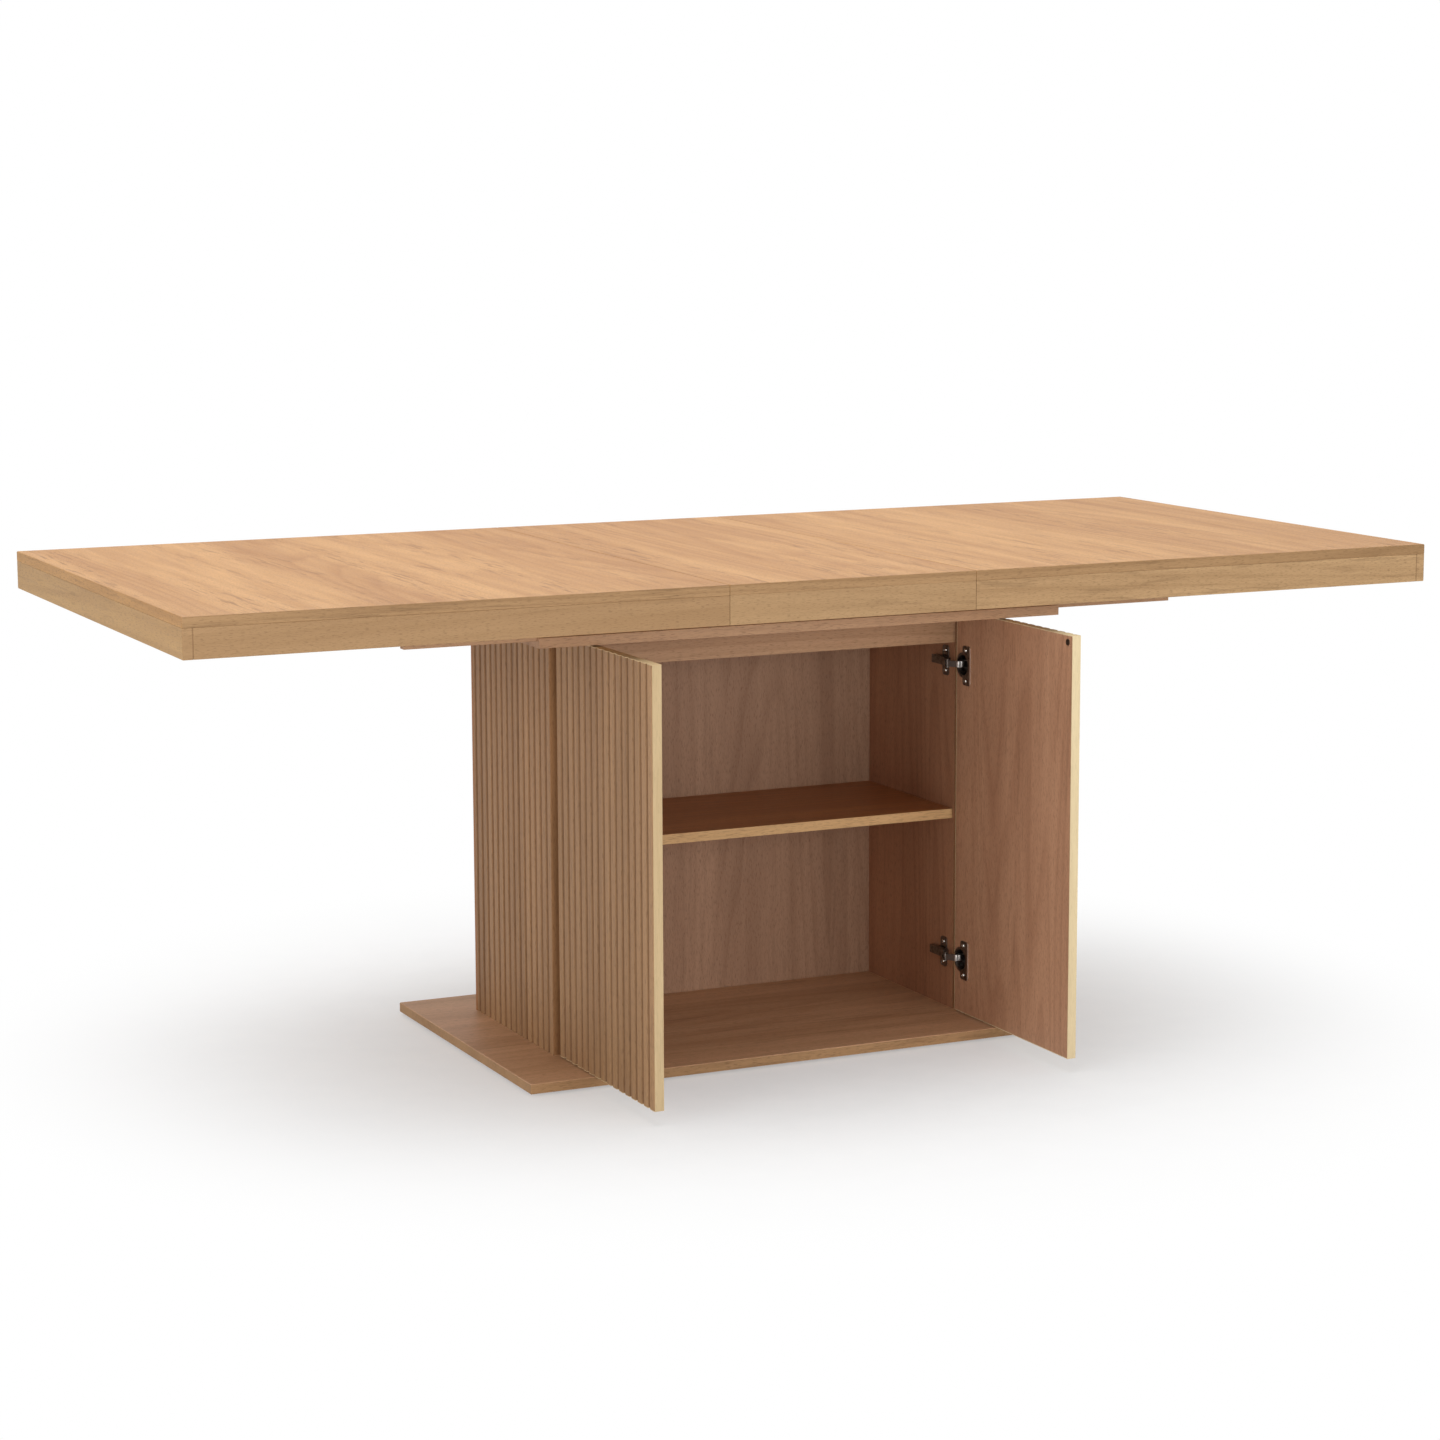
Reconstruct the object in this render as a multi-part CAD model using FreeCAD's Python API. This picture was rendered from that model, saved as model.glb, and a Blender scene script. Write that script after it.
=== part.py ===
import FreeCAD, Part
import math
import os

# Extending table on a pedestal cabinet. Millimetres, +X along the length, +Y to the back, +Z up.
# The origin lies on the floor under the middle of the table; leaf in, doors open at a right angle.

# Table top
table_width = 900.0
table_height = 760.0
half_length = 800.0
leaf_length = 400.0
leaf_seam = 0.5
board = 15.0
apron_thick = 15.0
apron_height = 43.0
edge_break = 1.0

# Pedestal plates, beams and glides
glide_height = 4.0
glide_radius = 15.0
glide_inset = 45.0
base_length = 890.0
base_depth = 564.0
upper_length = 860.0
upper_depth = 596.0
beam_length = 1266.0
beam_height = 66.0
beam_thick = 15.0
beam_outer = 290.0
beam_sunk = 5.0

# Slide of the halves on the beams
batten_thick = 18.0
batten_height = 30.0
batten_out = 500.0
batten_in = 12.0
slide_air = 0.3
groove_depth = 8.0
groove_height = 8.4
groove_drop = 13.0
tongue_air = 0.2
tongue_length = 348.0
stop_travel = 40.0
stop_air = 0.3
cleat_length = 360.0

# Cabinet
side_front = -140.0
side_depth = 323.0
back_recess = 20.0
lipping_width = 8.0
rail_height = 56.0
shelf_top = 342.0
shelf_setback = 4.0
shelf_air = 0.5
band_thick = 1.0

# Doors
door_width = 350.0
door_thick = 15.0
door_middle_gap = 2.0
door_reveal = 0.5
door_end_gap = 2.5
door_air = 2.0

# Flutes
flute_pitch = 22.2
flute_mouth = 9.0
flute_floor = 5.0
flute_depth = 2.5
flute_margin = 13.0

# Cup hinges: p runs from the door's hinge edge, q from its inner face outwards;
# u runs inwards from the side's outer face, v forwards from the side's front edge
hinge_inset = 85.0
open_face_u = 20.0
open_edge_v = 15.0
cup_radius = 17.5
cup_wall = 1.0
cup_depth = 11.0
cup_centre_p = 20.5
cup_fit = 0.1
flange_thick = 1.0
flange_radius = 20.0
flange_trim_p = 2.5
wing_half = 31.0
wing_width = 24.0
wing_corner = 5.0
wing_offset = 11.5
cup_screw_pitch = 48.0
cup_screw_offset = 9.0
cup_pin_p = 9.0
cup_pin_q = 3.0
link_throw = 20.5
link_bend = 5.2
link_half = 2.0
eye_radius = 2.7
link_rise = 4.7
pin_radius = 1.25
pin_fit = 0.05
cheek_air = 0.3
cheek_thick = 1.5
ear_reach = 3.0
arm_tip = 3.0
arm_roof = 1.2
plate_thick = 1.5
plate_half = 24.0
plate_width = 20.0
plate_setback = 28.0
plate_screw_pitch = 32.0
saddle_rise = 8.8
saddle_front = 14.0
saddle_back = 58.0
saddle_air = 0.1

# Push latches
latch_radius = 5.0
latch_length = 40.0
latch_off_middle = 14.0
latch_drop = 13.0
plunger_radius = 3.0
plunger_fit = 0.08
plunger_length = 12.0
plunger_travel = 3.0
plunger_air = 0.2
strike_radius = 5.0
strike_thick = 2.0
strike_proud = 1.0

# Fasteners and fittings
screw_fit = 0.02
small_screw = (3.5, 2.0, 1.75, 10.0)
shelf_pin_radius = 2.5
shelf_pin_sunk = 9.0
shelf_pin_tab = 9.0
shelf_pin_rise = 4.0
shelf_pin_inset = 45.0

# Derived heights and places
V = FreeCAD.Vector
UP = V(0, 0, 1)
under_top = table_height - board
base_top = glide_height + board
upper_top = under_top - beam_height
upper_under = upper_top - board
side_height = upper_under - base_top
cabinet_width = 2 * door_width + door_middle_gap + 2 * door_reveal
cabinet_half = cabinet_width / 2
side_back = side_front + side_depth
back_inner = side_back - back_recess - board
inner_half = cabinet_half - board
door_height = side_height - 2 * door_end_gap
door_bottom = base_top + door_end_gap
hinge_levels = [door_bottom + hinge_inset, door_bottom + door_height - hinge_inset]
rail_bottom = upper_under - rail_height
latch_level = upper_under - latch_drop
half_inner = leaf_length / 2
half_outer = half_inner + half_length

nodes = {}


def block(x0, x1, y0, y1, z0, z1):
    return Part.makeBox(x1 - x0, y1 - y0, z1 - z0, V(x0, y0, z0))


def rod(radius, start, end):
    start = V(*start)
    along = V(*end) - start
    return Part.makeCylinder(radius, along.Length, start, along)


def prism(points, z0, z1):
    corners = [V(x, y, z0) for x, y in points]
    return Part.Face(Part.makePolygon(corners + corners[:1])).extrude(V(0, 0, z1 - z0))


def soften(solid, level):
    """Break the sharp edges of a board at one height."""
    edges = [e for e in solid.Edges if all(abs(v.Z - level) < 1e-6 for v in e.Vertexes)]
    return solid.makeChamfer(edge_break, edges)


def screw(kind, seat, along, grow=0.0):
    """A headed screw whose head sits on the point seat; the shank runs along the given direction."""
    head_radius, head_height, shank_radius, length = kind
    seat = V(*seat)
    along = V(*along)
    head = Part.makeCylinder(head_radius + grow, head_height + grow, seat, along * -1)
    return head.fuse(Part.makeCylinder(shank_radius + grow, length + grow, seat, along)).removeSplitter()


def drill(solid, kind, screws):
    """Cut the holes for a list of screws given as (seat, direction)."""
    for seat, along in screws:
        solid = solid.cut(screw(kind, seat, along, screw_fit))
    return solid


def screw_group(kind, screws):
    return Part.makeCompound([screw(kind, seat, along) for seat, along in screws])


def mirrored(shape):
    return shape.mirror(V(0, 0, 0), V(1, 0, 0))


def fluted(width, thick, height):
    """A board with upright flutes in its outer face: x along the width, y from the inner to the outer face."""
    count = int((width - 2 * flute_margin) // flute_pitch) + 1
    first = (width - (count - 1) * flute_pitch) / 2
    outline = [(0, 0), (0, thick - edge_break), (edge_break, thick)]
    for i in range(count):
        middle = first + i * flute_pitch
        outline.append((middle - flute_mouth / 2, thick))
        outline.append((middle - flute_floor / 2, thick - flute_depth))
        outline.append((middle + flute_floor / 2, thick - flute_depth))
        outline.append((middle + flute_mouth / 2, thick))
    outline += [(width - edge_break, thick), (width, thick - edge_break), (width, 0)]
    return prism(outline, 0, height)


def facing_right(shape, x, y, z):
    """Turn a board's outer face to +X, with its width running forwards from y."""
    turned = shape.copy()
    turned.rotate(V(0, 0, 0), UP, -90)
    turned.translate(V(x, y, z))
    return turned


def on_door(shape, level=0.0):
    """From the right door's own p, q frame to its open place."""
    return facing_right(shape, cabinet_half - open_face_u, side_front - open_edge_v, level)


def on_side(shape, level=0.0):
    """From the right side's own u, v frame to the cabinet."""
    turned = shape.copy()
    turned.rotate(V(0, 0, 0), UP, 180)
    turned.translate(V(cabinet_half, side_front, level))
    return turned


def add_pair(name, shape):
    """One piece on the right and its mirror image on the left."""
    nodes["right_" + name] = shape
    nodes["left_" + name] = mirrored(shape)


def both_sides(shapes):
    return shapes + [mirrored(s) for s in shapes]


# Link pins: the fixed pin lies on the line of points equally far from the cup pin shut and open
pin_shut = V(door_reveal + cup_pin_p, door_air + cup_pin_q, 0)
pin_open = V(open_face_u - cup_pin_q, open_edge_v + cup_pin_p, 0)
pin_step = pin_open - pin_shut
arm_pin = (pin_shut + pin_open) * 0.5 + V(pin_step.y, -pin_step.x, 0).normalize() * link_throw
link_corner = pin_open + V(link_bend, 0, 0)
cheek_in = link_rise + cheek_air
cheek_out = cheek_in + cheek_thick


def bar(start, end, half, z0, z1):
    """A flat round-ended bar between two points."""
    side = (end - start).normalize().cross(UP) * half
    corners = [start + side, end + side, end - side, start - side]
    solid = prism([(c.x, c.y) for c in corners], z0, z1)
    for point in (start, end):
        solid = solid.fuse(rod(half, (point.x, point.y, z0), (point.x, point.y, z1)))
    return solid.removeSplitter()


def hinge_link():
    """Bent link in the u, v frame at the open pose, with an eye on each pin."""
    link = bar(arm_pin, link_corner, link_half, -link_rise, link_rise)
    link = link.fuse(bar(link_corner, pin_open, link_half, -link_rise, link_rise))
    for pin in (arm_pin, pin_open):
        link = link.fuse(rod(eye_radius, (pin.x, pin.y, -link_rise), (pin.x, pin.y, link_rise)))
    for pin in (arm_pin, pin_open):
        link = link.cut(rod(pin_radius + pin_fit, (pin.x, pin.y, -cheek_out), (pin.x, pin.y, cheek_out)))
    return link.removeSplitter()


def hinge_arm():
    """Channel over the mounting plate's saddle, with two cheeks running out to the fixed pin."""
    roof = board + saddle_rise + arm_roof
    low = board + plate_thick + cheek_thick / 2
    knee = -saddle_front - cheek_thick
    tip = V(arm_pin.x, arm_pin.y, 0)
    out = (tip - V((roof + low) / 2, knee, 0)).normalize()
    across = out.cross(UP) * arm_tip
    cheek = [(low, -saddle_back), (low, knee), (tip.x - across.x, tip.y - across.y),
             (tip.x + across.x, tip.y + across.y), (roof, knee), (roof, -saddle_back)]
    arm = None
    for z0, z1 in ((-cheek_out, -cheek_in), (cheek_in, cheek_out)):
        side = prism(cheek, z0, z1).fuse(rod(arm_tip, (tip.x, tip.y, z0), (tip.x, tip.y, z1)))
        arm = side if arm is None else arm.fuse(side)
    arm = arm.fuse(block(roof - arm_roof, roof, -saddle_back, knee, -cheek_out, cheek_out))
    arm = arm.cut(rod(pin_radius, (tip.x, tip.y, -cheek_out), (tip.x, tip.y, cheek_out)))
    return arm.removeSplitter()


plate_screws = [((board + plate_thick, -plate_setback, z), (-1, 0, 0))
                for z in (-plate_screw_pitch / 2, plate_screw_pitch / 2)]


def hinge_plate():
    """Winged mounting plate with the saddle the arm clips over."""
    wings = block(board, board + plate_thick, -plate_setback - plate_width / 2,
                  -plate_setback + plate_width / 2, -plate_half, plate_half)
    rounded = [e for e in wings.Edges if abs(e.Vertexes[0].X - e.Vertexes[-1].X) > 1e-6]
    wings = wings.makeFillet(plate_width / 4, rounded)
    saddle_half = cheek_in - saddle_air
    saddle = block(board, board + saddle_rise, -saddle_back, -saddle_front, -saddle_half, saddle_half)
    return drill(wings.fuse(saddle).removeSplitter(), small_screw, plate_screws)


wing_p = cup_centre_p + wing_offset
cup_screws = [((cup_centre_p + cup_screw_offset, -flange_thick, z), (0, 1, 0))
              for z in (-cup_screw_pitch / 2, cup_screw_pitch / 2)]


def hinge_cup():
    """Pressed cup with its winged flange on the door's inner face and two ears for the cup pin."""
    ring = rod(flange_radius, (cup_centre_p, -flange_thick, 0), (cup_centre_p, 0, 0))
    trim = block(cup_centre_p - 2 * flange_radius, flange_trim_p, -2 * flange_thick, flange_thick,
                 -2 * flange_radius, 2 * flange_radius)
    wing = block(wing_p - wing_width / 2, wing_p + wing_width / 2, -flange_thick, 0, -wing_half, wing_half)
    corners = [e for e in wing.Edges if abs(e.Vertexes[0].Y - e.Vertexes[-1].Y) > 1e-6]
    wing = wing.makeFillet(wing_corner, corners)
    bowl = rod(cup_radius, (cup_centre_p, 0, 0), (cup_centre_p, cup_depth, 0))
    cup = ring.cut(trim).fuse(wing).fuse(bowl)
    cup = cup.cut(rod(cup_radius - cup_wall, (cup_centre_p, -flange_thick, 0),
                      (cup_centre_p, cup_depth - cup_wall, 0)))
    wall_p = cup_centre_p - cup_radius + cup_wall / 2
    for z0, z1 in ((-cheek_out, -cheek_in), (cheek_in, cheek_out)):
        ear = block(wall_p, cup_pin_p + ear_reach, cup_pin_q - eye_radius, cup_depth - cup_wall / 2, z0, z1)
        ear = ear.common(rod(cup_radius - cup_wall / 2, (cup_centre_p, 0, 0), (cup_centre_p, cup_depth, 0)))
        cup = cup.fuse(ear)
    cup = cup.cut(rod(pin_radius, (cup_pin_p, cup_pin_q, -cheek_out), (cup_pin_p, cup_pin_q, cheek_out)))
    return drill(cup.removeSplitter(), small_screw, cup_screws)


def levels(make):
    """The same hinge piece at both hinge heights."""
    return [make(level) for level in hinge_levels]


def raised(screws, level):
    return [((s[0], s[1], s[2] + level), along) for s, along in screws]


# Table top: two halves and the leaf between them, each with its own aprons
apron_under = under_top - apron_height


def top_board(x0, x1):
    return soften(block(x0, x1, -table_width / 2, table_width / 2, under_top, table_height), table_height)


def aprons(x0, x1):
    front = block(x0, x1, -table_width / 2, -table_width / 2 + apron_thick, apron_under, under_top)
    back = block(x0, x1, table_width / 2 - apron_thick, table_width / 2, apron_under, under_top)
    return front, back


batten_near = beam_outer + slide_air
batten_far = batten_near + batten_thick
batten_under = under_top - batten_height
groove_top = under_top - groove_drop
groove_bottom = groove_top - groove_height
batten_x0 = half_inner + batten_in
batten_x1 = batten_x0 + batten_out - batten_in
tongue_x1 = batten_x0 + tongue_length


def lying_between(x0, x1, y0, y1, z0, z1, side):
    """A block on the front (side -1) or the back (side +1) of the table."""
    low, high = sorted((side * y0, side * y1))
    return block(x0, x1, low, high, z0, z1)


for name, side in (("front", -1), ("back", 1)):
    batten = lying_between(batten_x0, batten_x1, batten_near, batten_far, batten_under, under_top, side)
    tongue = lying_between(batten_x0, tongue_x1, beam_outer - groove_depth + slide_air, batten_near,
                           groove_bottom + tongue_air, groove_top - tongue_air, side)
    add_pair(name + "_batten", batten.fuse(tongue).removeSplitter())
add_pair("top", top_board(half_inner, half_outer))
front, back = aprons(half_inner, half_outer - apron_thick)
add_pair("front_apron", front)
add_pair("back_apron", back)
add_pair("end_apron", block(half_outer - apron_thick, half_outer, -table_width / 2, table_width / 2,
                            apron_under, under_top))

leaf_half = half_inner - leaf_seam
for name, side in (("front", -1), ("back", 1)):
    nodes["leaf_" + name + "_cleat"] = lying_between(-cleat_length / 2, cleat_length / 2, batten_near, batten_far,
                                                     batten_under, under_top, side)
nodes["leaf_top"] = top_board(-leaf_half, leaf_half)
nodes["leaf_front_apron"], nodes["leaf_back_apron"] = aprons(-leaf_half, leaf_half)

# Beams let into the upper plate, with a stopped groove for the halves' tongues
upper_plate = block(-upper_length / 2, upper_length / 2, -upper_depth / 2, upper_depth / 2,
                    upper_under, upper_top)
groove_half = tongue_x1 + stop_travel + stop_air
for name, side in (("front", -1), ("back", 1)):
    beam = lying_between(-beam_length / 2, beam_length / 2, beam_outer - beam_thick, beam_outer,
                         upper_top - beam_sunk, under_top, side)
    upper_plate = upper_plate.cut(beam)
    nodes[name + "_beam"] = beam.cut(lying_between(-groove_half, groove_half, beam_outer - groove_depth,
                                                   beam_outer, groove_bottom, groove_top, side))

# Upper plate, base plate and glides
nodes["top_plate"] = upper_plate
base = block(-base_length / 2, base_length / 2, -base_depth / 2, base_depth / 2, glide_height, base_top)
nodes["base_plate"] = soften(base, base_top)
glide_x = base_length / 2 - glide_inset
glide_y = base_depth / 2 - glide_inset
glide_places = [(x, y) for x in (-glide_x, glide_x) for y in (-glide_y, glide_y)] + [(0, 0)]
nodes["floor_glides"] = Part.makeCompound([rod(glide_radius, (x, y, 0), (x, y, glide_height))
                                           for x, y in glide_places])

shelf_under = shelf_top - board
pin_places = [side_front + shelf_setback + shelf_pin_inset, back_inner - shelf_pin_inset]
shelf_pin_level = shelf_under - shelf_pin_rise / 2
right_pins = []
for y in pin_places:
    stud = rod(shelf_pin_radius, (inner_half, y, shelf_pin_level),
               (inner_half + shelf_pin_sunk, y, shelf_pin_level))
    tab = block(inner_half - shelf_pin_tab, inner_half, y - shelf_pin_tab / 2, y + shelf_pin_tab / 2,
                shelf_under - shelf_pin_rise, shelf_under)
    right_pins.append(stud.fuse(tab).removeSplitter())
nodes["shelf_pins"] = Part.makeCompound(both_sides(right_pins))

side_panel = facing_right(fluted(side_depth, board, side_height), inner_half, side_back, base_top)
for y in pin_places:
    side_panel = side_panel.cut(rod(shelf_pin_radius, (inner_half, y, shelf_pin_level),
                                    (inner_half + shelf_pin_sunk, y, shelf_pin_level)))
for level in hinge_levels:
    for drilled in plate_screws:
        side_panel = side_panel.cut(on_side(screw(small_screw, *drilled, screw_fit), level))
lipping = block(inner_half, inner_half + board, side_back - lipping_width, side_back, base_top, upper_under)
add_pair("side", side_panel.cut(lipping))
nodes["side_lippings"] = Part.makeCompound(both_sides([lipping]))

back_panel = fluted(2 * inner_half, board, side_height)
back_panel.translate(V(-inner_half, back_inner, base_top))
nodes["back_panel"] = back_panel

shelf_half = inner_half - shelf_air
shelf_front = side_front + shelf_setback
nodes["shelf"] = block(-shelf_half, shelf_half, shelf_front + band_thick, back_inner, shelf_under, shelf_top)
nodes["shelf_band"] = block(-shelf_half, shelf_half, shelf_front, shelf_front + band_thick,
                            shelf_under, shelf_top)

# Front rail with the two push latches set into it
rail = block(-inner_half, inner_half, side_front, side_front + board, rail_bottom, upper_under)
plunger_tip = side_front - (door_air - strike_proud) + plunger_air
housings = []
for name, x in (("left", -latch_off_middle), ("right", latch_off_middle)):
    middle = (x, side_front, latch_level)
    rail = rail.cut(rod(latch_radius, middle, (x, side_front + board, latch_level)))
    housing = rod(latch_radius, middle, (x, side_front + latch_length, latch_level))
    bore_end = plunger_tip + plunger_length + plunger_travel + plunger_air
    housings.append(housing.cut(rod(plunger_radius + plunger_fit, middle, (x, bore_end, latch_level))))
    nodes[name + "_plunger"] = rod(plunger_radius, (x, plunger_tip, latch_level),
                                   (x, plunger_tip + plunger_length, latch_level))
nodes["front_rail"] = rail
nodes["latch_housings"] = Part.makeCompound(housings)

# Doors with their edge bands, cups and strikes, built in the right door's p, q frame
strike_p = cabinet_half - door_reveal - latch_off_middle
strike_place = (strike_p, strike_thick - strike_proud, latch_level - door_bottom)
core_width = door_width - 2 * band_thick
door = fluted(core_width, door_thick, door_height - 2 * band_thick)
door.translate(V(band_thick, 0, band_thick))
bands = [block(0, band_thick, 0, door_thick - edge_break, 0, door_height),
         block(door_width - band_thick, door_width, 0, door_thick - edge_break, 0, door_height)]
for z in (0, door_height - band_thick):
    edge = fluted(core_width, door_thick, band_thick)
    edge.translate(V(band_thick, 0, z))
    bands.append(edge)
for level in hinge_levels:
    z = level - door_bottom
    door = door.cut(rod(cup_radius + cup_fit, (cup_centre_p, 0, z), (cup_centre_p, cup_depth + cup_fit, z)))
    door = drill(door, small_screw, raised(cup_screws, z))
strike_back = (strike_p, -strike_proud, strike_place[2])
strike = rod(strike_radius, strike_back, strike_place)
door = door.cut(strike)
add_pair("door", on_door(door, door_bottom))
add_pair("door_bands", on_door(Part.makeCompound(bands), door_bottom))
add_pair("strike", on_door(strike, door_bottom))

cup = hinge_cup()
add_pair("lower_cup", on_door(cup, hinge_levels[0]))
add_pair("upper_cup", on_door(cup, hinge_levels[1]))
cup_pin = rod(pin_radius, (cup_pin_p, cup_pin_q, -cheek_out), (cup_pin_p, cup_pin_q, cheek_out))
add_pair("cup_pins", Part.makeCompound(levels(lambda z: on_door(cup_pin, z))))
add_pair("cup_screws", Part.makeCompound(levels(lambda z: on_door(screw_group(small_screw, cup_screws), z))))

# Fixed halves of the hinges and the links
link = hinge_link()
arm = hinge_arm()
fixed_pin = rod(pin_radius, (arm_pin.x, arm_pin.y, -cheek_out), (arm_pin.x, arm_pin.y, cheek_out))
add_pair("links", Part.makeCompound(levels(lambda z: on_side(link, z))))
add_pair("arms", Part.makeCompound(levels(lambda z: on_side(arm, z))))
nodes["arm_pins"] = Part.makeCompound(both_sides(levels(lambda z: on_side(fixed_pin, z))))
plate = hinge_plate()
nodes["hinge_plates"] = Part.makeCompound(both_sides(levels(lambda z: on_side(plate, z))))
plate_screw_set = screw_group(small_screw, plate_screws)
nodes["plate_screws"] = Part.makeCompound(both_sides(levels(lambda z: on_side(plate_screw_set, z))))

os.makedirs("parts", exist_ok=True)
for name, shape in nodes.items():
    shape.exportStep("parts/" + name + ".step")
print(len(nodes), "pieces written")
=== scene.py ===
# %% [markdown]
# # An extending table on a fluted cabinet
# The top of this table is two halves with a leaf between them, and it stands on a cabinet with two doors.
# The CAD model already holds every board, hinge and latch at its true size, and it says which piece moves
# with which. So the pieces are loaded as they are and get their finish here: wood grain, plating, eased
# edges and studio light. Only the screws are made again, with real heads.

# %% Load the pieces
import math
import bpy
from mathutils import Matrix, Vector


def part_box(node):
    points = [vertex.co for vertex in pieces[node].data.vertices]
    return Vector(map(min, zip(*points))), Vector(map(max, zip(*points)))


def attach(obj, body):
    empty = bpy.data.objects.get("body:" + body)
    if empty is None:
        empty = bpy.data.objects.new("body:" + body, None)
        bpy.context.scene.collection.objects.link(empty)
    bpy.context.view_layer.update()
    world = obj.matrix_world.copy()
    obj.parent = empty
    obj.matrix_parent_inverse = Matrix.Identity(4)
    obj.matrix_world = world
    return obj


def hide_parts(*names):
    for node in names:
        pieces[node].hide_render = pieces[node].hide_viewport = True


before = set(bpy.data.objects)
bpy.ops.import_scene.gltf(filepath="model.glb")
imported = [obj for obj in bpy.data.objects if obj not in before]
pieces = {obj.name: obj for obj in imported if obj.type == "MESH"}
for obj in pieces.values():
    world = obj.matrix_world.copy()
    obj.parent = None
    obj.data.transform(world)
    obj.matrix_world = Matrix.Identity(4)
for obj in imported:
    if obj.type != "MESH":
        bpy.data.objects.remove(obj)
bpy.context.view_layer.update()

# %% [markdown]
# ## Where the viewer stands
# The table is seen from the front, a little from the left and a little from above. A camera could be
# aimed with a tracking constraint. Here it is written the way a tripod is set, as a place, a turn to the
# right, a tilt down and a slight roll, because each of these can then be corrected by itself. The three
# directions that the lens sees become the columns of its matrix. A long lens from more than five metres
# away keeps the long edges of the table almost parallel.

# %% Camera
stand = Vector((-2.2698, -4.8398, 1.3369))
turn, tilt, roll = math.radians(25.071), math.radians(9.022), math.radians(0.197)
focal_pixels, picture_pixels, sensor_mm = 3447.7, 1440, 36
farthest_seen = 60

ahead = Vector((math.sin(turn) * math.cos(tilt), math.cos(turn) * math.cos(tilt), -math.sin(tilt)))
level_right = Vector((math.cos(turn), -math.sin(turn), 0))
level_down = ahead.cross(level_right)
right = level_right * math.cos(roll) + level_down * math.sin(roll)
down = level_down * math.cos(roll) - level_right * math.sin(roll)

lens = bpy.data.cameras.new("table_camera")
lens.sensor_width = sensor_mm
lens.lens = focal_pixels / picture_pixels * sensor_mm
lens.clip_end = farthest_seen
camera = bpy.data.objects.new("table_camera", lens)
axes = Matrix((right, -down, -ahead)).transposed().to_4x4()
camera.matrix_world = Matrix.Translation(stand) @ axes
bpy.context.scene.collection.objects.link(camera)
bpy.context.scene.camera = camera
print("lens", round(lens.lens, 1), "mm, looking along", [round(c, 3) for c in ahead])

# %% [markdown]
# ## Building finishes from nodes
# A finish could be put together by hand in the shader editor, but most of these pieces are oak and differ
# only in colour and direction. So every finish is a small net of nodes made in code, and five helpers
# keep the recipes short. The first, tint, turns a colour picked from a sample board, counted 0 to 255,
# into the linear values that a renderer adds up. Then add makes a node and fills its sockets, with plain
# values or with the output of an earlier node, reckon works out one value from one or two others, ramp
# turns a value into tones, and blend mixes two colours. The Mix node has sockets for several kinds of
# values, so the places of the ones for colours are named first.

# %% Colour and node helpers
mix_factor, mix_first, mix_second, mix_colour = 0, 6, 7, 2


def tint(red, green, blue):
    shares = [c / 255 for c in (red, green, blue)]
    linear = [s / 12.92 if s <= 0.04045 else ((s + 0.055) / 1.055) ** 2.4 for s in shares]
    return (*linear, 1.0)


def add(net, kind, sockets=None, **settings):
    node = net.nodes.new(kind)
    for name, value in settings.items():
        setattr(node, name, value)
    for name, value in (sockets or {}).items():
        if isinstance(value, bpy.types.NodeSocket):
            net.links.new(value, node.inputs[name])
        else:
            node.inputs[name].default_value = value
    return node


def reckon(net, operation, first, second=0.5):
    return add(net, "ShaderNodeMath", {0: first, 1: second}, operation=operation).outputs[0]


def ramp(net, factor, stops):
    node = add(net, "ShaderNodeValToRGB", {"Fac": factor})
    points = node.color_ramp.elements
    while len(points) < len(stops):
        points.new(0.5)
    for point, (place, value) in zip(points, stops):
        point.position = place
        point.color = value if isinstance(value, tuple) else (value, value, value, 1)
    return node.outputs["Color"]


def blend(net, factor, first, second, kind="MIX"):
    sockets = {mix_factor: factor, mix_first: first, mix_second: second}
    return add(net, "ShaderNodeMix", sockets, data_type="RGBA", blend_type=kind).outputs[mix_colour]


print("tint of a mid oak:", [round(c, 3) for c in tint(190, 150, 108)])

# %% [markdown]
# ## An even white room
# The table is shown in a bright studio. A picture of a real room could light it, but it would leave its
# colours on the metal, so the room is one plain white. Seen directly, in a mirror or through glass it has
# full strength; as light on the table it has half of that, and the softboxes bring the rest with a
# direction.

# %% Room
bpy.context.scene.view_settings.view_transform = "Standard"
white = (1, 1, 1, 1)
room_light, room_seen = 0.5, 1.0


def direct_look(net):
    path = add(net, "ShaderNodeLightPath").outputs
    mirrored = reckon(net, "MAXIMUM", path["Is Camera Ray"], path["Is Glossy Ray"])
    return reckon(net, "MAXIMUM", mirrored, path["Is Transmission Ray"])


room = bpy.data.worlds.new("studio_room")
bpy.context.scene.world = room
room.use_nodes = True
net = room.node_tree
net.nodes.clear()
room_levels = {"Value": direct_look(net), "To Min": room_light, "To Max": room_seen}
level = add(net, "ShaderNodeMapRange", room_levels).outputs[0]
sky = add(net, "ShaderNodeBackground", {"Color": white, "Strength": level})
add(net, "ShaderNodeOutputWorld", {"Surface": sky.outputs[0]})
print("the room lights the table with", room_light, "of white")

# %% [markdown]
# ## The studio floor
# In a studio, pale paper is rolled out and bent up behind the table, so that no horizon shows. A bent
# sheet would stand in the way of a view from behind, so this floor is one flat square, a hair below the
# glides, and its paint does the rest in the next step.

# %% Floor
floor_reach, floor_drop = 9.0, 0.0005

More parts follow.
